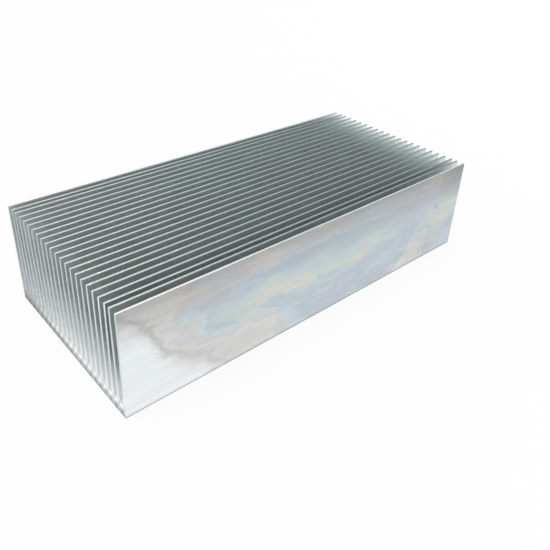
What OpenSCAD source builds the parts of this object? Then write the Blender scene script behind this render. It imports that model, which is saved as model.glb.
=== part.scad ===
// Extruded aluminium heat sink: a flat base that carries a comb of straight, tall fins.
// X runs along the fins, Y across them, Z from the flat underside up to the fin tips.
// The origin is the middle of the underside.

/* [Cut piece] */
// Length that the extrusion is cut to, along the fins
length = 150; // [20:1:300]
// Width across all the fins
width = 69; // [60:1:90]
// Height from the underside to the fin tips
height = 36; // [20:1:45]

/* [Base] */
// Thickness of the base under the channels
base_t = 4; // [2:0.5:8]
// Radius along the two long lower edges
base_edge_r = 0.3; // [0.1:0.1:1]

/* [Fins] */
// Number of fins, spaced evenly from one side face to the other
fin_count = 23; // [6:1:25]
// Thickness of a fin at its tip
fin_tip_t = 0.8; // [0.6:0.05:1]
// Thickness of a fin where its root fillets begin
fin_root_t = 1.2; // [1:0.05:1.3]
// Radius on the two corners of each fin tip
fin_tip_r = 0.2; // [0.05:0.05:0.25]
// Fillet radius between the fins and the channel floor
root_fillet_r = 0.7; // [0.1:0.1:0.8]

/* [Fan of the fins] */
// Distance that the tip of the outermost leaning fin stands out from its root
fan = 0.7; // [0:0.1:1]
// Number of fins next to each side face that stay upright
upright_fins = 2; // [1:1:3]

/* [Hidden] */
$fn = 32;

// Places across the width
pitch = (width - fin_tip_t) / (fin_count - 1);
function fin_y(i) = (i - (fin_count - 1) / 2) * pitch;

// The outer face of the first and last fin is the flat side face, so those two taper inwards only
function root_left(i) = max(fin_y(i) - fin_root_t / 2, -width / 2);
function root_right(i) = min(fin_y(i) + fin_root_t / 2, width / 2);

// The inner fins fan out evenly from the middle of the comb
function leans(i) = i >= upright_fins && i < fin_count - upright_fins;
function lean(i) = leans(i) ? fan * fin_y(i) / fin_y(fin_count - 1 - upright_fins) : 0;

// Heights at which the fillets end and the tip rounding begins
root_z = base_t + root_fillet_r;
tip_z = height - fin_tip_r;

// Base with rounded lower edges, up to the height where the fins start to taper
module base_2d() {
    translate([-width / 2, base_edge_r])
        square([width, root_z - base_edge_r]);
    translate([-width / 2 + base_edge_r, 0])
        square([width - 2 * base_edge_r, base_edge_r]);
    for (side = [-1, 1])
        translate([side * (width / 2 - base_edge_r), base_edge_r])
            circle(r = base_edge_r);
}

// Floor of the channel between fin i and the next one, with a fillet against each
module channel_floor_2d(i) {
    left = root_right(i) + root_fillet_r;
    right = root_left(i + 1) - root_fillet_r;
    translate([left, base_t])
        square([right - left, 2 * root_fillet_r]);
    for (y = [left, right])
        translate([y, root_z])
            circle(r = root_fillet_r);
}

// One tapered fin with a rounded tip, standing on the base
module fin_2d(i) {
    tip_y = fin_y(i) + lean(i);
    half_tip = fin_tip_t / 2;
    polygon([
        [root_left(i), root_z],
        [root_right(i), root_z],
        [tip_y + half_tip, tip_z],
        [tip_y - half_tip, tip_z]
    ]);
    half_flat = half_tip - fin_tip_r;
    translate([tip_y - half_flat, tip_z - fin_tip_r])
        square([2 * half_flat, 2 * fin_tip_r]);
    for (side = [-1, 1])
        translate([tip_y + side * half_flat, tip_z])
            circle(r = fin_tip_r);
}

// The whole cross-section, as the die gives it
module profile_2d() {
    difference() {
        base_2d();
        for (i = [0 : fin_count - 2])
            channel_floor_2d(i);
    }
    for (i = [0 : fin_count - 1])
        fin_2d(i);
}

module heat_sink() {
    color("gainsboro")
        rotate([90, 0, 90])
            linear_extrude(height = length, center = true)
                profile_2d();
}

heat_sink();
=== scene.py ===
# %% [markdown]
# # An extruded heat sink
# The object is one length of extruded aluminium: a flat base with a comb of tall, thin fins. The
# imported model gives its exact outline. This lesson dresses it: the fins are pressed out again as a
# finer mesh with the small faults of a real extrusion, and the bare metal gets its own finish.

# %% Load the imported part
import math
import bpy
from mathutils import Matrix, Vector


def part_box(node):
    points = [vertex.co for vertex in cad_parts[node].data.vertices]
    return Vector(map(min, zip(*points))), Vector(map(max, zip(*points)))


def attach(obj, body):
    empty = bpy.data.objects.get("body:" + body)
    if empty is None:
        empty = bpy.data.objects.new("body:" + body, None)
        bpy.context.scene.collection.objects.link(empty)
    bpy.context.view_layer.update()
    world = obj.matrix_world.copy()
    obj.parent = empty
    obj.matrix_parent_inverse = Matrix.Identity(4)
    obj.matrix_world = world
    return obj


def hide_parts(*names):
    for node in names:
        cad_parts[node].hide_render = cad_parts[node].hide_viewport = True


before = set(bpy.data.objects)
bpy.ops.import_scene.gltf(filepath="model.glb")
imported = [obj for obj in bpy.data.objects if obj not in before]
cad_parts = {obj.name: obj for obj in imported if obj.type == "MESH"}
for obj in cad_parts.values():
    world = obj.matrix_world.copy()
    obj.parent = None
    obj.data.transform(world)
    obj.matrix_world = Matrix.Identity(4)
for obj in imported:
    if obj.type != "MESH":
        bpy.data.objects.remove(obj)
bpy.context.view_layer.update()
NODE = "heat_sink"
low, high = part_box(NODE)
size = high - low
print("packed part, metres:", [round(value, 4) for value in size])

# %% [markdown]
# ## The camera
# A small object that is seen from close by shows strong perspective, so the distance matters as
# much as the direction. The camera is placed by its position, the bearing and tilt that it looks
# along, and a small roll. The lens is a plain 40 mm one, shifted a little so that the part sits in
# the middle of the frame although the camera looks slightly below it.

# %% Place the camera
MM = 0.001
CAMERA_PLACE = Vector((-127.0, -146.1, 132.7)) * MM
CAMERA_BEARING = math.radians(42.78)
CAMERA_TILT = math.radians(29.52)
CAMERA_ROLL = math.radians(3.03)
CAMERA_LENS = 40.17
CAMERA_SHIFT = -0.109


def add_camera():
    data = bpy.data.cameras.new("camera")
    data.lens = CAMERA_LENS
    data.shift_y = CAMERA_SHIFT
    data.clip_start = MM
    camera = bpy.data.objects.new("camera", data)
    bpy.context.scene.collection.objects.link(camera)
    turn = Matrix.Rotation(-CAMERA_BEARING, 4, "Z")
    tilt = Matrix.Rotation(math.radians(90) - CAMERA_TILT, 4, "X")
    roll = Matrix.Rotation(CAMERA_ROLL, 4, "Z")
    camera.matrix_world = Matrix.Translation(CAMERA_PLACE) @ turn @ tilt @ roll
    bpy.context.scene.camera = camera
    return camera


camera = add_camera()
print("lens, mm:", round(camera.data.lens, 2))
print("camera distance, metres:", round((CAMERA_PLACE - (low + high) / 2).length, 3))

# %% [markdown]
# ## Writing nodes as sums
# Both geometry and shader trees are made of many small Math nodes. A small class wraps a socket, so
# that `1 - mask` adds the Math node that it stands for. Every other node comes from one method,
# which sets the node's own settings first and then the values or links of its sockets.

# %% A socket that does sums
class Value:
    """A number that a socket gives."""

    def __init__(self, tree, socket):
        self.tree = tree
        self.socket = socket

    def math(self, operation, *values):
        return self.tree.add("ShaderNodeMath", {"operation": operation}, dict(enumerate(values)))

    def __add__(self, other):
        return self.math("ADD", self, other)

    def __sub__(self, other):
        return self.math("SUBTRACT", self, other)

    def __mul__(self, other):
        return self.math("MULTIPLY", self, other)

    def __truediv__(self, other):
        return self.math("DIVIDE", self, other)

    def __pow__(self, other):
        return self.math("POWER", self, other)

    def __radd__(self, other):
        return self.math("ADD", other, self)

    def __rsub__(self, other):
        return self.math("SUBTRACT", other, self)

    def __rmul__(self, other):
        return self.math("MULTIPLY", other, self)

    def __rtruediv__(self, other):
        return self.math("DIVIDE", other, self)

    def __neg__(self):
        return self.math("MULTIPLY", self, -1.0)

    def __abs__(self):
        return self.math("ABSOLUTE", self)

    def sign(self):
        return self.math("SIGN", self)

    def sine(self):
        return self.math("SINE", self)

    def cosine(self):
        return self.math("COSINE", self)

    def at_least(self, other):
        return self.math("MAXIMUM", self, other)

    def at_most(self, other):
        return self.math("MINIMUM", self, other)

    def above(self, other):
        return self.math("GREATER_THAN", self, other)

    def below(self, other):
        return self.math("LESS_THAN", self, other)

    def share(self, start, end):
        """0 at start, 1 at end and beyond, even in between."""
        return ((self - start) / (end - start)).at_least(0).at_most(1)


# %% [markdown]
# The second class wraps a node tree. Its `add` takes the kind of a node, the settings that decide
# which sockets it shows, and what goes into them: a plain number, a colour, or another node's value.
# Two short helpers join three numbers into a vector and take one apart. A sample tree, thrown away
# again, shows what a short sum adds.

# %% A tree that adds nodes
class Tree:
    """A node tree with one method that adds any node."""

    def __init__(self, tree):
        self.tree = tree

    def put(self, socket, value):
        if isinstance(value, Value):
            self.tree.links.new(value.socket, socket)
        elif socket.type == "RGBA":
            socket.default_value = (*value, 1.0)
        else:
            socket.default_value = value

    def add(self, kind, settings=None, values=None, output=0):
        """Adds a node. Sockets are named, or numbered from 0, among those that the settings show."""
        node = self.tree.nodes.new(kind)
        for name, value in (settings or {}).items():
            if name == "stops":
                self.set_stops(node.color_ramp, value)
            else:
                setattr(node, name, value)
        shown = [socket for socket in node.inputs if socket.enabled]
        named = {socket.name: socket for socket in reversed(shown)}
        for name, value in (values or {}).items():
            self.put(shown[name] if isinstance(name, int) else named[name], value)
        outputs = [socket for socket in node.outputs if socket.enabled]
        chosen = outputs[output] if isinstance(output, int) else node.outputs[output]
        return Value(self, chosen)

    @staticmethod
    def set_stops(ramp, stops):
        while len(ramp.elements) < len(stops):
            ramp.elements.new(1.0)
        for element, (place, color) in zip(ramp.elements, stops):
            element.position = place
            element.color = (*color, 1.0)


def vector(tree, x=0.0, y=0.0, z=0.0):
    return tree.add("ShaderNodeCombineXYZ", None, {"X": x, "Y": y, "Z": z})


def parts(tree, source):
    """The X, Y and Z of a vector."""
    apart = tree.add("ShaderNodeSeparateXYZ", None, {"Vector": source})
    return [Value(tree, apart.socket.node.outputs[axis]) for axis in "XYZ"]


sample = bpy.data.node_groups.new("sample", "GeometryNodeTree")
sample_tree = Tree(sample)
height = parts(sample_tree, sample_tree.add("GeometryNodeInputPosition"))[2]
print("the last node of 1 - height:", (1 - height).socket.node.operation)
print("nodes in the sample:", len(sample.nodes))
bpy.data.node_groups.remove(sample)

# %% [markdown]
# ## The extrusion
# A real heat sink like this is pressed through a die, so the mesh is made the same way. The flat
# cross-section is laid out first: one fin and one stretch of base under a channel, each a small
# grid that formulas bend into shape, repeated across the width. Then it is pushed out along X in
# many short steps. The steps give the fins points along their length, so that they can sway a
# little, as tall thin fins do when the hot metal is stretched and sawn.

# %% Sizes of the die and of its small faults
FIN_COUNT = 23
BASE_THICKNESS = 4.0 * MM
TIP_THICKNESS = 0.8 * MM
ROOT_THICKNESS = 1.2 * MM
ROOT_FILLET = 0.7 * MM
TIP_RADIUS = 0.2 * MM
EDGE_RADIUS = 0.3 * MM
FAN = 0.7 * MM
UPRIGHT_FINS = 2
SWAY = 0.12 * MM
SAW_DEPTH = 0.10 * MM
NICK_DEPTH = 0.25 * MM
FLAT_BORDER = 0.08 * MM
STATIONS = 90

BASE_ROWS = 5
FIN_ROWS = 6
TIP_ROWS = 2
BORDER_ROWS = 1
FIN_COLUMNS = 2
FLOOR_COLUMNS = 6
RIGHT_ANGLE = math.pi / 2

TREE_INPUTS = {
    "Length": size.x,
    "Width": size.y,
    "Height": size.z,
    "Base thickness": BASE_THICKNESS,
    "Fins": FIN_COUNT,
    "Tip thickness": TIP_THICKNESS,
    "Root thickness": ROOT_THICKNESS,
    "Root fillet": ROOT_FILLET,
    "Tip radius": TIP_RADIUS,
    "Edge radius": EDGE_RADIUS,
    "Fan": FAN,
    "Upright fins": UPRIGHT_FINS,
    "Sway": SWAY,
    "Saw depth": SAW_DEPTH,
    "Nick depth": NICK_DEPTH,
    "Flat border": FLAT_BORDER,
    "Stations": STATIONS,
    "Seed": 7,
}
print("tree inputs:", len(TREE_INPUTS))


# %% [markdown]
# The grid for a fin has its rows shared out over three stretches: the part inside the base, the
# tapered blade, and the rounded tip. Each stretch has a share that runs from 0 to 1 over its own
# rows, so the height and the half thickness are plain sums of those shares. The grid under a
# channel uses the same rows in the base, so the two meet point to point.

# %% Formulas for the cross-section
def row_shares(v, rows):
    """Shares, from 0 to 1, of each stretch of rows, for v from 0 at the foot to 1 at the top."""
    row = v * sum(rows)
    shares = []
    start = 0
    for count in rows:
        shares.append(row.share(start, start + count))
        start += count
    return shares


def flat_grid(tree, columns, rows):
    """A grid of quads with its across and up coordinates, from -1 to 1 and from 0 to 1."""
    counts = {"Size X": 2.0, "Size Y": 1.0, "Vertices X": columns + 1, "Vertices Y": rows + 1}
    grid = tree.add("GeometryNodeMeshGrid", None, counts)
    u, v, _ = parts(tree, tree.add("GeometryNodeInputPosition"))
    return grid, u, v + 0.5


def moved(tree, mesh, x, y, z):
    place = {"Geometry": mesh, "Position": vector(tree, x, y, z)}
    return tree.add("GeometryNodeSetPosition", None, place)


def fin_section(tree, inputs):
    """The cross-section of one fin and of the base below it, centred on Y = 0."""
    rows = (BASE_ROWS, BORDER_ROWS, FIN_ROWS, BORDER_ROWS, TIP_ROWS)
    grid, u, v = flat_grid(tree, FIN_COLUMNS, sum(rows))
    base_share, lower_share, middle_share, upper_share, tip_share = row_shares(v, rows)
    root_z = inputs["Base thickness"] + inputs["Root fillet"]
    tip_z = inputs["Height"] - inputs["Tip radius"]
    border = inputs["Flat border"]
    above_root = border * (lower_share + upper_share) + (tip_z - root_z - border * 2) * middle_share
    blade_share = above_root / (tip_z - root_z)
    angle = tip_share * RIGHT_ANGLE
    z = root_z * base_share**2 + above_root + inputs["Tip radius"] * angle.sine()
    taper = (inputs["Root thickness"] - inputs["Tip thickness"]) * blade_share
    half = (inputs["Root thickness"] - taper) / 2 - inputs["Tip radius"] * (1 - angle.cosine())
    return moved(tree, grid, inputs["Length"] / -2, u * half, z)


def floor_section(tree, inputs, pitch):
    """The cross-section of the base under one channel, with a fillet at each side."""
    grid, u, v = flat_grid(tree, FLOOR_COLUMNS, BASE_ROWS)
    radius = inputs["Root fillet"]
    flat = (pitch - inputs["Root thickness"]) / 2 - radius
    out = abs(u)
    angle = out.share(1 / 3, 1) * RIGHT_ANGLE
    y = u.sign() * (flat * out.share(0, 1 / 3) + radius * angle.sine())
    z = (inputs["Base thickness"] + radius * (1 - angle.cosine())) * v**2
    return moved(tree, grid, inputs["Length"] / -2, y, z)


# %% [markdown]
# Instances are cheap copies, so both grids are repeated as instances on a row of points. Each copy
# stores its own number, which later tells a leaning fin from an upright one. Realizing them and
# merging the points that coincide makes one sheet of quads: the whole die opening.

# %% Repeat the sections across the width
WELD_DISTANCE = 0.001 * MM


def repeated(tree, section, count, start, pitch):
    """Copies of a section along Y, each with its number in the attribute fin."""
    first = vector(tree, y=start)
    step = vector(tree, y=pitch)
    line = {"Count": count, "Start Location": first, "Offset": step}
    points = tree.add("GeometryNodeMeshLine", None, line)
    copies = {"Points": points, "Instance": section}
    instances = tree.add("GeometryNodeInstanceOnPoints", None, copies)
    number = {"Geometry": instances, "Name": "fin", "Value": tree.add("GeometryNodeInputIndex")}
    kept = {"data_type": "FLOAT", "domain": "INSTANCE"}
    numbered = tree.add("GeometryNodeStoreNamedAttribute", kept, number)
    return tree.add("GeometryNodeRealizeInstances", None, {"Geometry": numbered})


def welded(tree, *meshes):
    join = tree.tree.nodes.new("GeometryNodeJoinGeometry")
    for mesh in meshes:
        tree.tree.links.new(mesh.socket, join.inputs["Geometry"])
    joined = Value(tree, join.outputs["Geometry"])
    weld = {"Geometry": joined, "Distance": WELD_DISTANCE}
    return tree.add("GeometryNodeMergeByDistance", None, weld)


# %% [markdown]
# Extrude Mesh pushes the whole sheet one step along X and leaves side faces behind. A Repeat Zone
# does that once for every station. A true or false attribute marks the moving sheet, so that only
# it is pushed again, and the starting sheet is turned round to close the first end.

# %% Press the section out along X
def pressed_out(tree, section, length, stations):
    """Extrudes the section along X in equal steps and closes the end that it started from."""
    repeat_in = tree.tree.nodes.new("GeometryNodeRepeatInput")
    repeat_out = tree.tree.nodes.new("GeometryNodeRepeatOutput")
    repeat_in.pair_with_output(repeat_out)
    tree.put(repeat_in.inputs["Iterations"], stations)
    front = {"data_type": "BOOLEAN", "domain": "FACE"}
    marked = {"Geometry": section, "Name": "front", "Value": True}
    marked_section = tree.add("GeometryNodeStoreNamedAttribute", front, marked)
    tree.put(repeat_in.inputs["Geometry"], marked_section)
    step = vector(tree, x=length / stations)
    true_or_false = {"data_type": "BOOLEAN"}
    is_front = tree.add("GeometryNodeInputNamedAttribute", true_or_false, {"Name": "front"})
    sheet = Value(tree, repeat_in.outputs["Geometry"])
    push = {"Mesh": sheet, "Selection": is_front, "Offset": step, "Individual": False}
    extrude = tree.add("GeometryNodeExtrudeMesh", {"mode": "FACES"}, push)
    top = Value(tree, extrude.socket.node.outputs["Top"])
    passed = {"Geometry": extrude, "Name": "front", "Value": top}
    marked_again = tree.add("GeometryNodeStoreNamedAttribute", front, passed)
    tree.put(repeat_out.inputs["Geometry"], marked_again)
    back = tree.add("GeometryNodeFlipFaces", None, {"Mesh": section})
    return welded(tree, Value(tree, repeat_out.outputs["Geometry"]), back)


# %% [markdown]
# The last step moves the points. A fin leans or sways more the higher a point lies on it, and the
# side faces stay flat, because every point is held inside the width of the die. The saw leaves the
# two ends slightly uneven, and handling leaves a few small dents in the thin tips. All of it is
# noise that reads the place on the metal; a step in it from fin to fin keeps the fins from swaying
# as one.

# %% Lean, sway, saw cuts and dents
SWAY_SCALE = 22.0
SWAY_STEP_PER_FIN = 0.37
SWAY_POWER = 1.5
SAW_SCALE = 900.0
DENT_SCALE = 160.0
DENT_STEP_PER_FIN = 1.7
DENT_START = 0.72
DENT_FULL = 0.85
END_MARGIN = 0.01 * MM


def noise(tree, spot, scale, detail=0.0, seed=0.0):
    """Smooth noise about 0, from -0.5 to 0.5."""
    values = {"Vector": spot, "W": seed, "Scale": scale, "Detail": detail}
    return tree.add("ShaderNodeTexNoise", {"noise_dimensions": "4D"}, values, "Fac") - 0.5


def leaning(inputs, fin, height):
    """How far a fin's points move across: a lean that grows towards the sides of the comb."""
    middle = (inputs["Fins"] - 1) / 2
    from_middle = fin - middle
    inner = middle - inputs["Upright fins"]
    leans = abs(from_middle).below(inner + 0.5)
    return inputs["Fan"] * from_middle / inner * leans * height


def swaying(tree, inputs, fin, height, x, z):
    along = vector(tree, x, fin * SWAY_STEP_PER_FIN, z * 0.5)
    bend = noise(tree, along, SWAY_SCALE, 1.0, inputs["Seed"]) * 2
    return inputs["Sway"] * bend * height**SWAY_POWER


def saw_bite(tree, inputs, x, y, z):
    """How far the saw cut in at both ends, with a sign that points outwards."""
    at_end = abs(x).above(inputs["Length"] / 2 - END_MARGIN)
    rough = noise(tree, vector(tree, x.sign(), y, z), SAW_SCALE, 1.0, inputs["Seed"]) + 0.5
    return x.sign() * at_end * rough * inputs["Saw depth"]


def dents(tree, inputs, fin, x, z):
    tip = z.share(inputs["Height"] - inputs["Tip radius"], inputs["Height"])
    along = vector(tree, x, fin * DENT_STEP_PER_FIN)
    spots = noise(tree, along, DENT_SCALE, 0.0, inputs["Seed"] + 5) + 0.5
    return tip * spots.share(DENT_START, DENT_FULL) * inputs["Nick depth"]


def worn(tree, mesh, inputs):
    """Moves every point of the pressed solid to its place on the worn one."""
    x, y, z = parts(tree, tree.add("GeometryNodeInputPosition"))
    fin = tree.add("GeometryNodeInputNamedAttribute", {"data_type": "FLOAT"}, {"Name": "fin"})
    height = z.share(inputs["Base thickness"] + inputs["Root fillet"], inputs["Height"])
    shift = leaning(inputs, fin, height) + swaying(tree, inputs, fin, height, x, z)
    new_x = x - saw_bite(tree, inputs, x, y, z)
    new_z = z - dents(tree, inputs, fin, x, z)
    edge = inputs["Width"] / 2
    radius = inputs["Edge radius"]
    corner = (radius - new_z).at_least(0)
    cut = radius - (radius**2 - corner**2).at_least(0) ** 0.5
    new_y = (y + shift).at_least(-edge).at_most(edge).at_least(cut - edge).at_most(edge - cut)
    return moved(tree, mesh, new_x, new_y, new_z)


# %% [markdown]
# The tree is put together in the order of the real work: lay out the section, press it out, wear it.
# It ends by making everything real and giving it the material, because only plain meshes are kept.

# %% The whole tree
def build_tree(material):
    """The whole Geometry Nodes tree, with its sizes as named inputs."""
    group = bpy.data.node_groups.new("Extruded comb", "GeometryNodeTree")
    face = group.interface
    face.new_socket("Geometry", in_out="OUTPUT", socket_type="NodeSocketGeometry")
    for name, value in TREE_INPUTS.items():
        kind = "NodeSocketInt" if isinstance(value, int) else "NodeSocketFloat"
        face.new_socket(name, in_out="INPUT", socket_type=kind)
    tree = Tree(group)
    entry = group.nodes.new("NodeGroupInput")
    inputs = {name: Value(tree, entry.outputs[name]) for name in TREE_INPUTS}
    pitch = (inputs["Width"] - inputs["Tip thickness"]) / (inputs["Fins"] - 1)
    first = (inputs["Fins"] - 1) * pitch / -2
    fins = repeated(tree, fin_section(tree, inputs), inputs["Fins"], first, pitch)
    channels = inputs["Fins"] - 1
    floors = floor_section(tree, inputs, pitch)
    base = repeated(tree, floors, channels, first + pitch / 2, pitch)
    section = welded(tree, fins, base)
    solid = pressed_out(tree, section, inputs["Length"], inputs["Stations"])
    finished = worn(tree, solid, inputs)
    real = tree.add("GeometryNodeRealizeInstances", None, {"Geometry": finished})
    dressed = tree.add("GeometryNodeSetMaterial", None, {"Geometry": real, "Material": material})
    leave = group.nodes.new("NodeGroupOutput")
    tree.put(leave.inputs["Geometry"], dressed)
    return group


# %% [markdown]
# ## The finish
# The part is bare aluminium, as the press and the saw left it. One material covers it all, and
# masks worked out from the place on the metal choose between its faces: the drawn long faces, the
# thin tips, the channel walls and the sawn ends. Every pattern reads Object coordinates, turned into
# millimetres, so a pattern keeps its scale on the real part.

# %% Start a material
def new_material(name):
    material = bpy.data.materials.new(name)
    material.use_nodes = True
    material.node_tree.nodes.clear()
    return material, Tree(material.node_tree)


def finish_material(tree, shader):
    output = tree.tree.nodes.new("ShaderNodeOutputMaterial")
    tree.put(output.inputs["Surface"], shader)


def blend(tree, first, second, share):
    """A colour that goes from the first to the second as the share goes from 0 to 1."""
    values = {"Factor": share, "A": first, "B": second}
    return tree.add("ShaderNodeMix", {"data_type": "RGBA"}, values)


def brighter(tree, color, gain):
    values = {"Vector": color, "Scale": gain}
    return tree.add("ShaderNodeVectorMath", {"operation": "SCALE"}, values)


def places(tree):
    """X, Y and Z in millimetres, and the direction that the face looks in."""
    coordinates = tree.tree.nodes.new("ShaderNodeTexCoord")
    here = Value(tree, coordinates.outputs["Object"])
    facing = Value(tree, coordinates.outputs["Normal"])
    in_mm = tree.add("ShaderNodeVectorMath", {"operation": "SCALE"}, {"Vector": here, "Scale": 1 / MM})
    return parts(tree, in_mm), parts(tree, facing)


# %% [markdown]
# ## Oxide stains on the long faces
# Where a wet or hot extrusion has lain, the long faces carry a thin oxide film that shows faint
# colours, like oil on water: a grey-brown rim, then beige, pale cyan, blue, and green to straw where
# it is thickest. So the stain is made as one number, the film's thickness, and a colour ramp turns
# it into colour. Rings round every patch then come by themselves, as they do on the real metal.

# %% Colours of the film, from clean metal to the thickest film
HALF_LENGTH_MM = size.x / 2 / MM
HALF_WIDTH_MM = size.y / 2 / MM
HEIGHT_MM = size.z / MM
PITCH_MM = (size.y - TIP_THICKNESS) / (FIN_COUNT - 1) / MM

FILM_COLORS = [
    (0.00, (0.90, 0.94, 0.96)),
    (0.10, (0.84, 0.86, 0.86)),
    (0.21, (0.67, 0.665, 0.65)),
    (0.34, (0.75, 0.755, 0.74)),
    (0.44, (0.66, 0.67, 0.67)),
    (0.54, (0.65, 0.735, 0.765)),
    (0.66, (0.55, 0.62, 0.675)),
    (0.76, (0.59, 0.68, 0.70)),
    (0.86, (0.65, 0.71, 0.67)),
    (0.94, (0.71, 0.71, 0.66)),
    (1.00, (0.70, 0.665, 0.645)),
]
print("face, mm:", round(2 * HALF_LENGTH_MM, 1), "by", round(HEIGHT_MM, 1))
print("pitch of the fins, mm:", round(PITCH_MM, 3))
print("film colours:", len(FILM_COLORS))

# %% [markdown]
# The film is a sum of plain forms, given in millimetres along and up the face. A tide mark runs
# slantwise over one end and bounds the clean metal; a second slanted line bounds the blue. A long
# streak lies at mid height, sharp below and soft above, as where a liquid has dried. A few soft
# ovals add the clouds. Noise bends all their edges, and is drawn out along the fins.

# %% Plain forms: noise, ovals and ridges
CLEAR_NOTCH = ((-29.0, 7.0), (7.0, 9.0))
CLEAR_SLANTED = ((48.0, 5.0), (8.0, 12.0), 0.9)
CLEAR_UPPER = ((58.0, 34.0), (12.0, 6.0))
THICK_CLOUD = ((64.0, 18.0), (15.0, 12.0), 0.3)


def wander(tree, x, z, scale, seed, stretch=1.0, detail=2.0):
    """Noise from -1 to 1 over a long face, drawn out along X by the stretch."""
    spot = vector(tree, x / stretch, 0.0, z)
    return noise(tree, spot, scale, detail, seed) * 2


def blob(x, z, middle, reach, slant=0.0):
    """1 at the middle of a soft oval, 0 from its reach outwards. The slant pushes its top along X."""
    up = z - middle[1]
    across = (x - middle[0] - up * slant) / reach[0]
    rise = up / reach[1]
    return (1 - (across * across + rise * rise)).at_least(0)


def ridge_at(value, middle, reach):
    """1 where the value is at the middle, falling evenly to 0 at its reach on both sides."""
    return (1 - abs(value - middle) / reach).at_least(0)


print("clear ovals, middle and reach in mm:", CLEAR_NOTCH, CLEAR_SLANTED[:2], CLEAR_UPPER)

# %% [markdown]
# The shares of the film that each form adds are the main dials: they decide which colours of the
# ramp it reaches. The rim alone stays beige, the blue adds enough for blue, and the streak more.

# %% The streak, and the whole film
STREAK_HEIGHT = 15.0
STREAK_WAVE = 1.4
STREAK_WAVE_RATE = 0.26
TIDE_RIM_FILM = 0.34
BLUE_FILM = 0.32
STREAK_FILM = 0.30
CLOUD_FILM = 0.26


def streak(tree, x, z, seed):
    """A long streak with a soft upper side, of uneven strength, and its sharp lower edge."""
    rise = z - STREAK_HEIGHT - STREAK_WAVE * (x * STREAK_WAVE_RATE + 1.2).sine()
    edge = ridge_at(rise, 0.1, 0.9)
    across = rise.share(-0.6, 1.4) * (1 - rise.share(2.0, 11.0))
    along = x.share(-46.0, -34.0) * (1 - x.share(18.0, 40.0))
    strength = 0.72 + 1.3 * wander(tree, x, z, 0.16, seed, 1.6)
    return across * along * strength.at_least(0.25), edge * along


def bent(tree, x, z, seed):
    """X and Z with slow and quick waves, so that straight forms get natural edges."""
    bent_x = x + 10.0 * wander(tree, x, z, 0.06, seed) + 4.0 * wander(tree, x, z, 0.25, seed + 1)
    slow = 5.0 * wander(tree, x, z, 0.07, seed + 2, 2.5)
    return bent_x, z + slow + 2.0 * wander(tree, x, z, 0.4, seed + 3, 3.0)


def blue_film(x, z):
    """The film that looks blue: past a slanted line, but for clear ovals and a worn top."""
    past_line = (x + 2.0 * z + 22.0).share(-4.0, 20.0) * (x + 58.0).share(0.0, 12.0)
    ovals = blob(x, z, *CLEAR_NOTCH).at_least(blob(x, z, *CLEAR_SLANTED))
    clear = (1.15 * ovals.at_least(blob(x, z, *CLEAR_UPPER))).at_most(1.0)
    worn_top = 0.65 * z.share(28.0, 31.0)
    return past_line * (1 - clear) * (1 - worn_top)


def film_thickness(tree, x, z, seed):
    """The thickness of the film, from 0 to 1, and the sharp edge of its streak."""
    bent_x, bent_z = bent(tree, x, z, seed)
    from_tide = bent_x + bent_z + 48.0
    rim = TIDE_RIM_FILM * from_tide.share(-2.0, 10.0)
    film = rim + BLUE_FILM * blue_film(bent_x, bent_z)
    thick, edge = streak(tree, bent_x, bent_z, seed + 5)
    film = film + STREAK_FILM * thick + CLOUD_FILM * blob(bent_x, bent_z, *THICK_CLOUD)
    patches = 0.18 * wander(tree, x, z, 0.14, seed + 6, 2.5)
    stripes = 0.16 * wander(tree, x, z, 0.7, seed + 4, 7.0)
    return film + (patches + stripes) * rim.share(0.1, 0.3), edge


print("film in the middle of the streak:", round(TIDE_RIM_FILM + BLUE_FILM + STREAK_FILM, 2))

# %% [markdown]
# Two tints come on top of the film's own colours: straw where something warm has touched the upper
# edge, and a faint plum that drifts over the thicker film.

# %% Tints over the stain
STRAW = (0.80, 0.75, 0.69)
PLUM = (0.66, 0.625, 0.67)
STRAW_PATCH = ((-27.0, 32.5), (11.0, 3.5))
FAINT_STRAW_PATCH = ((-56.0, 31.0), (13.0, 4.5))
UPPER_PLUM_PATCH = ((52.0, 31.0), (34.0, 8.0))
LOWER_PLUM_PATCH = ((64.0, 6.0), (13.0, 6.0))


def tinted_stain(tree, film, along, z, ragged_x, ragged_z, seed):
    stain = tree.add("ShaderNodeValToRGB", {"stops": FILM_COLORS}, {0: film}, "Color")
    faint = 0.6 * blob(ragged_x, ragged_z, *FAINT_STRAW_PATCH)
    straw = blob(ragged_x, ragged_z, *STRAW_PATCH).at_least(faint)
    stain = blend(tree, stain, STRAW, 0.7 * straw)
    plum = (3.0 * wander(tree, along, z, 0.09, seed + 13, 1.5)).at_least(0)
    plum = plum.at_least(1.6 * blob(ragged_x, ragged_z, *UPPER_PLUM_PATCH))
    plum = plum.at_least(1.4 * blob(ragged_x, ragged_z, *LOWER_PLUM_PATCH)).at_most(1)
    return blend(tree, stain, PLUM, 0.3 * plum * film.share(0.3, 0.45))


print("tints:", STRAW, PLUM)

# %% [markdown]
# Light and dark are kept apart from the colour. The upper part of the face is painted darker, a painted
# shade, and so are a thin band under its top edge, the face towards one end and its upper corner there.
# The tide mark leaves a little dirt, and two flecks lie in the stain.
# Along the foot runs one faint raised line, from a scratch in the die, with a painted highlight along
# it.

# %% Light and dark on the long faces
LONG_FLECK = ((-2.0, 17.0), (2.2, 1.0))
ROUND_FLECK = ((61.5, 21.6), (1.6, 1.2))
DARK_CORNER = ((72.0, 31.0), (13.0, 9.0))
PALE_END = ((70.0, 3.0), (10.0, 6.0))
PALE_FOOT = ((42.0, 2.0), (8.0, 3.0))
DIRT_FILM = 0.21
DIRT_REACH = 0.10


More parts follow.
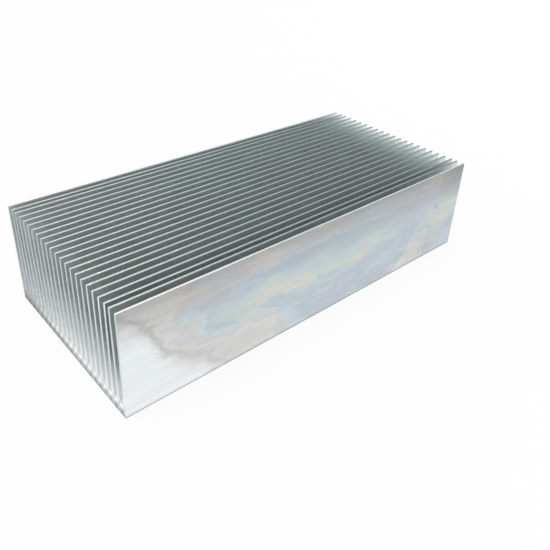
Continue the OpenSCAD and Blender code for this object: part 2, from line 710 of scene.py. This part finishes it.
def tide_dirt(tree, film, along, z, seed):
    """Dirt where the film is as thin as at the tide mark's rim, but not on the foot of the face."""
    off = (film - DIRT_FILM) / DIRT_REACH
    dirt = (1 - off * off).at_least(0) * (0.5 + wander(tree, along, z, 0.35, seed))
    return dirt.at_least(0) * z.share(6.0, 15.0)


def face_shade(tree, film, edge, along, z, ragged_x, ragged_z, seed):
    # Painted shade: the upper part, a thin band under the top edge, the end towards along = 60 and the
    # upper corner there are painted darker.
    painted_lighting = (0.26 + 0.06 * along.share(-40.0, 60.0)) * z.share(22.0, 34.0)
    shade = 0.99 - painted_lighting - 0.06 * z.share(33.0, 35.5) - 0.06 * along.share(-20.0, 60.0)
    shade = shade - 0.14 * blob(along, z, *DARK_CORNER) + 0.07 * edge
    shade = shade - 0.16 * tide_dirt(tree, film, along, z, seed + 7)
    pale = blob(along, z, *PALE_END) + 0.8 * blob(along, z, *PALE_FOOT)
    flecks = blob(ragged_x, ragged_z, *LONG_FLECK) + blob(ragged_x, ragged_z, *ROUND_FLECK)
    drawn = wander(tree, along, z, 0.6, seed + 8, 10.0, 3.0)
    grain = wander(tree, along, z, 1.3, seed + 9, 1.0, 1.0)
    return shade + 0.10 * pale - 0.15 * flecks + 0.09 * drawn + 0.06 * grain


def long_face_color(tree, x, z, side, lines, die_ridge_with_highlight):
    """The colour of a long face. The side is -1 or 1; each side has a stain of its own."""
    along = -x * side
    seed = 15.0 + 4.0 * side
    film, edge = film_thickness(tree, along, z, seed)
    ragged_x = along + 6.0 * wander(tree, along, z, 0.25, seed + 11)
    ragged_z = z + 3.0 * wander(tree, along, z, 0.3, seed + 12, 2.0)
    stain = tinted_stain(tree, film, along, z, ragged_x, ragged_z, seed)
    shade = face_shade(tree, film, edge, along, z, ragged_x, ragged_z, seed)
    # The ridge gets a painted highlight in the colour, besides its bump.
    return brighter(tree, stain, shade + 0.07 * die_ridge_with_highlight + 0.05 * lines)


# %% [markdown]
# ## Channels, tips and sawn ends
# The die scores fine lines along the whole length, so their noise is drawn out along X. A painted glow,
# matt and whiter, lies just inside each channel at both sawn ends, widest on its floor and weaker
# towards the far side.
# The channel next to the front fin is painted darker, a painted shade, as are the upper walls close to
# the near ends, and the walls are painted a little lighter towards the end at positive X.

# %% The channel walls
WALL_LEFT = (0.84, 0.855, 0.85)
WALL_RIGHT = (0.79, 0.855, 0.85)
WALL_AT_CUT = (0.80, 0.86, 0.87)
CHANNEL_GLOW_WHITE = (0.94, 0.98, 0.975)
DARK_CHANNEL_Y = 5.2 - HALF_WIDTH_MM


def die_lines(tree, x, y, z, seed):
    """Fine lines along X, from -0.5 to 0.5, which change slowly along their length."""
    return noise(tree, vector(tree, x * 0.004, y, z), 2.2, 4.0, seed)


def painted_channel_glow(from_end, y, z):
    """A painted glow: 1 on the channel floors at the saw cut, fading inwards, up the walls and towards
    the far side.
    """
    near = 1 - 0.8 * y.share(-5.0, 30.0)
    top = 25.0 - 9.0 * (1 - y.share(-32.0, -24.0))
    wall = (1 - from_end.share(0.4, 2.4)) * (0.04 + 0.96 * (1 - z.share(8.0, top)))
    foot = (1 - from_end.share(4.0, 12.0)) * (1 - z.share(9.0, 14.0))
    return wall.at_least(foot) * near


def wall_color(tree, x, y, z, from_end, lines, cloudy, channel_glow):
    grain = noise(tree, vector(tree, x * 0.6, y, z), 1.1, 2.0, 41.0)
    gain = 1 + 0.05 * (y / HALF_WIDTH_MM) + 0.12 * lines + 0.08 * cloudy + 0.30 * grain
    # Painted shade on the upper walls near the ends and in the channel next to the front fin; painted
    # light towards the end at positive X.
    upper_end_shade = (1 - from_end.share(0.5, 3.0)) * z.share(15.0, 30.0) * (1 - y.share(-20.0, 20.0))
    painted_shade = 0.16 * ridge_at(y, DARK_CHANNEL_Y, 2.0) + 0.12 * upper_end_shade
    gain = gain - painted_shade + 0.04 * x.share(30.0, 70.0)
    hue = blend(tree, WALL_LEFT, WALL_RIGHT, x.share(-65.0, -20.0))
    hue = blend(tree, WALL_AT_CUT, hue, from_end.share(0.5, 3.0))
    return blend(tree, brighter(tree, hue, gain), CHANNEL_GLOW_WHITE, channel_glow)


# %% [markdown]
# The tips are thin and catch the light. The outermost two carry a painted highlight, strongest at one
# end, and handling leaves tiny bright nicks along all of them.

# %% The tips
TIP_PLAIN = (0.575, 0.65, 0.645)
TIP_PAINTED_HIGHLIGHT = (0.97, 0.98, 0.98)
TIP_NICK = (0.96, 0.96, 0.96)
OUTER_TIP_Y = HALF_WIDTH_MM - 1.0


def tip_color(tree, x, y):
    spot = vector(tree, x, y)
    uneven = noise(tree, spot, 0.7, 2.0, 33.0)
    gain = 1 + 0.05 * x.share(-60.0, -10.0) + 0.36 * uneven
    # Painted highlight on the two outermost tips, strongest near the end at negative X.
    painted_lighting = 0.9 - 0.45 * x.share(-45.0, -15.0) - 0.15 * x.share(30.0, 60.0)
    painted_lighting = painted_lighting * abs(y).above(OUTER_TIP_Y)
    plain = blend(tree, brighter(tree, TIP_PLAIN, gain), TIP_PAINTED_HIGHLIGHT, painted_lighting)
    nick = (noise(tree, spot, 1.6, 0.0, 31.0) + 0.5).share(0.74, 0.80)
    return blend(tree, plain, TIP_NICK, nick)


# %% [markdown]
# The saw leaves short lines across both ends. Below each channel the cut face has a bright lip, a
# painted highlight, and the strip below it is darker, most of all under each channel. The fins' ends
# are painted lighter a little above the base, a painted glow that is strongest on the near side, and
# the lower part of the far side carries a painted shadow.

# %% The sawn ends
SAWN_NEAR = (0.65, 0.69, 0.70)
SAWN_FAR = (0.54, 0.57, 0.575)
SAWN_WARM = (0.51, 0.505, 0.48)
SAWN_PAINTED_GLOW = (0.82, 0.855, 0.855)
SAWN_PAINTED_HIGHLIGHT = (0.98, 0.98, 0.98)


def sawn_color(tree, y, z, saw_lines):
    near = 1 - y.share(-5.0, 30.0)
    fins = blend(tree, SAWN_NEAR, SAWN_FAR, y.share(-30.0, 5.0))
    warm = (1 - z.share(6.0, 16.0)) * y.share(5.0, 30.0)
    fins = blend(tree, fins, SAWN_WARM, warm)
    # Painted glow: the fins' ends are lighter just above the base, most on the near side.
    painted_glow = z.share(3.4, 5.0) * (1 - z.share(6.5, 13.0)) * (0.15 + 0.85 * near)
    plain = blend(tree, fins, SAWN_PAINTED_GLOW, painted_glow)
    under_channel = 0.5 - 0.5 * (y * (2 * math.pi / PITCH_MM)).cosine()
    spots = noise(tree, vector(tree, 0.0, y, z), 0.6, 2.0, 5.0)
    # Darker along the bottom strip, most under each channel, in uneven patches.
    darker_low_strip = (1 - z.share(1.8, 2.8)) * (0.05 + 0.9 * under_channel + 1.2 * spots)
    # Painted shadow over the lower part of the far side.
    far_painted_shadow = y.share(-5.0, 28.0) * (1 - z.share(3.5, 7.0))
    gain = 1 + 0.22 * saw_lines - 0.45 * darker_low_strip.at_least(0) - 0.30 * far_painted_shadow
    # Painted highlight: a white lip under each channel on the near side.
    lip_highlight = z.share(2.3, 2.7) * under_channel.share(0.3, 0.5) * (1 - y.share(8.0, 26.0))
    return blend(tree, brighter(tree, plain, gain), SAWN_PAINTED_HIGHLIGHT, lip_highlight)


# %% [markdown]
# Masks from the place and the direction of each face now choose between the four colours. The painted
# glow near the ends is matt, so it loses most of its metallic shine. A thin line of painted shade runs
# round the foot, where the part meets whatever it stands on; the underside itself is left out of it.

# %% Put the finish together
DIE_RIDGE_Z = 2.2
TIP_BAND = 0.3
METAL = 0.78
ROUGHNESS = 0.30
FOOT_PAINTED_SHADE = 0.75
UNDERSIDE = -0.9


def mill_finish():
    material, tree = new_material("mill_finish_aluminium")
    (x, y, z), (facing_x, facing_y, facing_z) = places(tree)
    from_end = HALF_LENGTH_MM - abs(x)
    outer = abs(y).above(HALF_WIDTH_MM - 0.1) * abs(facing_y).above(0.7)
    sawn = abs(facing_x).share(0.5, 0.8)
    tip = z.above(HEIGHT_MM - TIP_BAND)
    lines = die_lines(tree, x, y, z, 3.0)
    cloudy = noise(tree, vector(tree, x * 0.5, y, z), 0.12, 2.0, 9.0)
    saw_lines = noise(tree, vector(tree, 0.0, y * 0.15, z + y * 0.12), 3.0, 3.0, 21.0)
    # The die ridge: a real bump, and a painted highlight in the long faces' colour.
    die_ridge_with_highlight = ridge_at(z, DIE_RIDGE_Z, 0.35) * outer
    # Painted glow near the sawn ends, which also makes the metal there matt.
    channel_glow = painted_channel_glow(from_end, y, z) * (1 - outer) * (1 - sawn)

    color = wall_color(tree, x, y, z, from_end, lines, cloudy, channel_glow)
    color = blend(tree, color, tip_color(tree, x, y), tip)
    face = long_face_color(tree, x, z, facing_y.sign(), lines, die_ridge_with_highlight)
    color = blend(tree, color, face, outer)
    color = blend(tree, color, sawn_color(tree, y, z, saw_lines), sawn)
    # Painted shade: a thin dark line along the foot of every face except the underside.
    foot = (1 - z.share(0.25, 0.75)) * facing_z.above(UNDERSIDE)
    color = brighter(tree, color, 1 - FOOT_PAINTED_SHADE * foot)

    roughness = ROUGHNESS + 0.10 * cloudy + 0.10 * lines + 0.10 * sawn + 0.3 * channel_glow
    # The painted highlight on the outer tips also makes them less metallic.
    painted_highlight_tip = tip * abs(y).above(OUTER_TIP_Y) * (1 - outer)
    metallic = METAL + 0.12 * outer - 0.74 * channel_glow - 0.60 * painted_highlight_tip
    height = 0.004 * lines + 0.010 * saw_lines * sawn + 0.03 * die_ridge_with_highlight
    bump = tree.add("ShaderNodeBump", None, {"Strength": 1.0, "Distance": MM, "Height": height})
    values = {"Base Color": color, "Roughness": roughness, "Metallic": metallic, "Normal": bump}
    finish_material(tree, tree.add("ShaderNodeBsdfPrincipled", None, values, "BSDF"))
    return material


aluminium = mill_finish()
print("nodes in the finish:", len(aluminium.node_tree.nodes))

# %% [markdown]
# The tree has nothing to work on: it makes its own points. So an empty mesh carries it as a modifier,
# the evaluated result is copied into a plain mesh, and the carrier is thrown away. Edges sharper than
# 40 degrees stay crisp, and the small fillets and rounded tips are shaded smooth.

# %% Evaluate the tree into a plain mesh
SHARP_ANGLE = math.radians(40)


def pressed_mesh(material):
    group = build_tree(material)
    carrier = bpy.data.objects.new("carrier", bpy.data.meshes.new("carrier"))
    bpy.context.scene.collection.objects.link(carrier)
    modifier = carrier.modifiers.new("comb", "NODES")
    modifier.node_group = group
    for item in group.interface.items_tree:
        if item.in_out == "INPUT":
            modifier[item.identifier] = TREE_INPUTS[item.name]
    evaluated = carrier.evaluated_get(bpy.context.evaluated_depsgraph_get())
    mesh = bpy.data.meshes.new_from_object(evaluated)
    carrier.modifiers.remove(modifier)
    bpy.data.objects.remove(carrier)
    return mesh


mesh = pressed_mesh(aluminium)
mesh.name = "comb_of_fins"
mesh.shade_smooth()
mesh.set_sharp_from_angle(angle=SHARP_ANGLE)
extrusion = bpy.data.objects.new("comb_of_fins", mesh)
bpy.context.scene.collection.objects.link(extrusion)
print("faces:", len(mesh.polygons), "points:", len(mesh.vertices))

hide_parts(NODE)
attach(extrusion, "root")

# %% [markdown]
# ## The stage
# Bare metal shows its surroundings more than its own colour, so the stage matters as much as the
# finish. A studio would set the part on a white table between large soft boxes. Here the table is
# one plane. Rays from the camera, and rays mirrored by the metal, see it as nearly even white: a
# glow makes up most of it, and the rest is paint that takes the part's shadow. All other rays see
# the matt paint alone, which lights the part gently from below.

# %% The floor
FLOOR_HALF = 3.0
FLOOR_GLOW = 0.92


def seen_or_mirrored(tree):
    """1 for rays from the camera and for mirrored rays, 0 for those that only light things."""
    seen = tree.add("ShaderNodeLightPath", None, None, "Is Camera Ray")
    mirrored = tree.add("ShaderNodeLightPath", None, None, "Is Glossy Ray")
    through = tree.add("ShaderNodeLightPath", None, None, "Is Transmission Ray")
    return seen.at_least(mirrored).at_least(through)


def floor_material():
    material, tree = new_material("stage_floor")
    paint = {"Color": (0.9, 0.9, 0.9), "Roughness": 1.0}
    lit = tree.add("ShaderNodeBsdfDiffuse", None, paint)
    glow = tree.add("ShaderNodeEmission", None, {"Color": (1.0, 1.0, 1.0), "Strength": 1.0})
    share = seen_or_mirrored(tree) * FLOOR_GLOW
    mixed = tree.add("ShaderNodeMixShader", None, {"Fac": share, 1: lit, 2: glow})
    finish_material(tree, mixed)
    return material


def add_floor():
    corners = [(-1, -1), (1, -1), (1, 1), (-1, 1)]
    points = [(x * FLOOR_HALF, y * FLOOR_HALF, low.z) for x, y in corners]
    mesh = bpy.data.meshes.new("floor")
    mesh.from_pydata(points, [], [(0, 1, 2, 3)])
    mesh.materials.append(floor_material())
    floor = bpy.data.objects.new("floor", mesh)
    bpy.context.scene.collection.objects.link(floor)
    return floor


floor = add_floor()
print(floor.name, "metres across:", 2 * FLOOR_HALF)

# %% [markdown]
# The soft boxes are one smooth gradient over the sky: bright on the side of the sawn end, fairly
# bright behind, dim in front and to the right. It has no edges, so the metal mirrors no hard shapes,
# and the strengths of about 1 leave every colour close to how it is written.

# %% The sky
SKY_FRONT = 0.25
SKY_BACK = 0.95
SKY_LEFT = 1.55
SKY_RIGHT = 0.30


def set_world():
    world = bpy.data.worlds.new("studio")
    bpy.context.scene.world = world
    world.use_nodes = True
    world.node_tree.nodes.clear()
    tree = Tree(world.node_tree)
    direction = tree.add("ShaderNodeTexCoord", None, None, "Generated")
    x, y, _ = parts(tree, direction)
    back = SKY_FRONT + (SKY_BACK - SKY_FRONT) * y.share(-0.3, 0.3)
    right = x.share(0.36, 0.64)
    left = (-x).share(0.3, 0.8)
    strength = back + (SKY_RIGHT - back) * right + (SKY_LEFT - back) * left
    shine = tree.add("ShaderNodeBackground", None, {"Color": (1.0, 1.0, 1.0), "Strength": strength})
    output = world.node_tree.nodes.new("ShaderNodeOutputWorld")
    tree.put(output.inputs["Surface"], shine)
    return world


world = set_world()
print(world.name, "sky, from weakest to strongest:", sorted([SKY_FRONT, SKY_BACK, SKY_LEFT, SKY_RIGHT]))

# %% [markdown]
# One wide lamp overhead gives the part a soft shadow on the table.

# %% The lamp
LAMP_PLACE = Vector((0.0, 0.1, 1.2))
LAMP_WIDTH = 1.0
LAMP_POWER = 5.0


def add_lamp():
    data = bpy.data.lights.new("overhead", "AREA")
    data.shape = "DISK"
    data.size = LAMP_WIDTH
    data.energy = LAMP_POWER
    lamp = bpy.data.objects.new("overhead", data)
    bpy.context.scene.collection.objects.link(lamp)
    lamp.location = LAMP_PLACE
    aim = Vector((0, 0, size.z / 2)) - LAMP_PLACE
    lamp.rotation_euler = aim.to_track_quat("-Z", "Y").to_euler()
    return lamp


lamp = add_lamp()
print(lamp.name, "lamp, metres wide:", LAMP_WIDTH, "- watts:", LAMP_POWER)

# %% [markdown]
# The Standard view shows a colour as it was written. The default view would soften the bright metal
# and grey the white table.

# %% Show colours as written
view = bpy.context.scene.view_settings
view.view_transform = "Standard"
print("view:", view.view_transform)
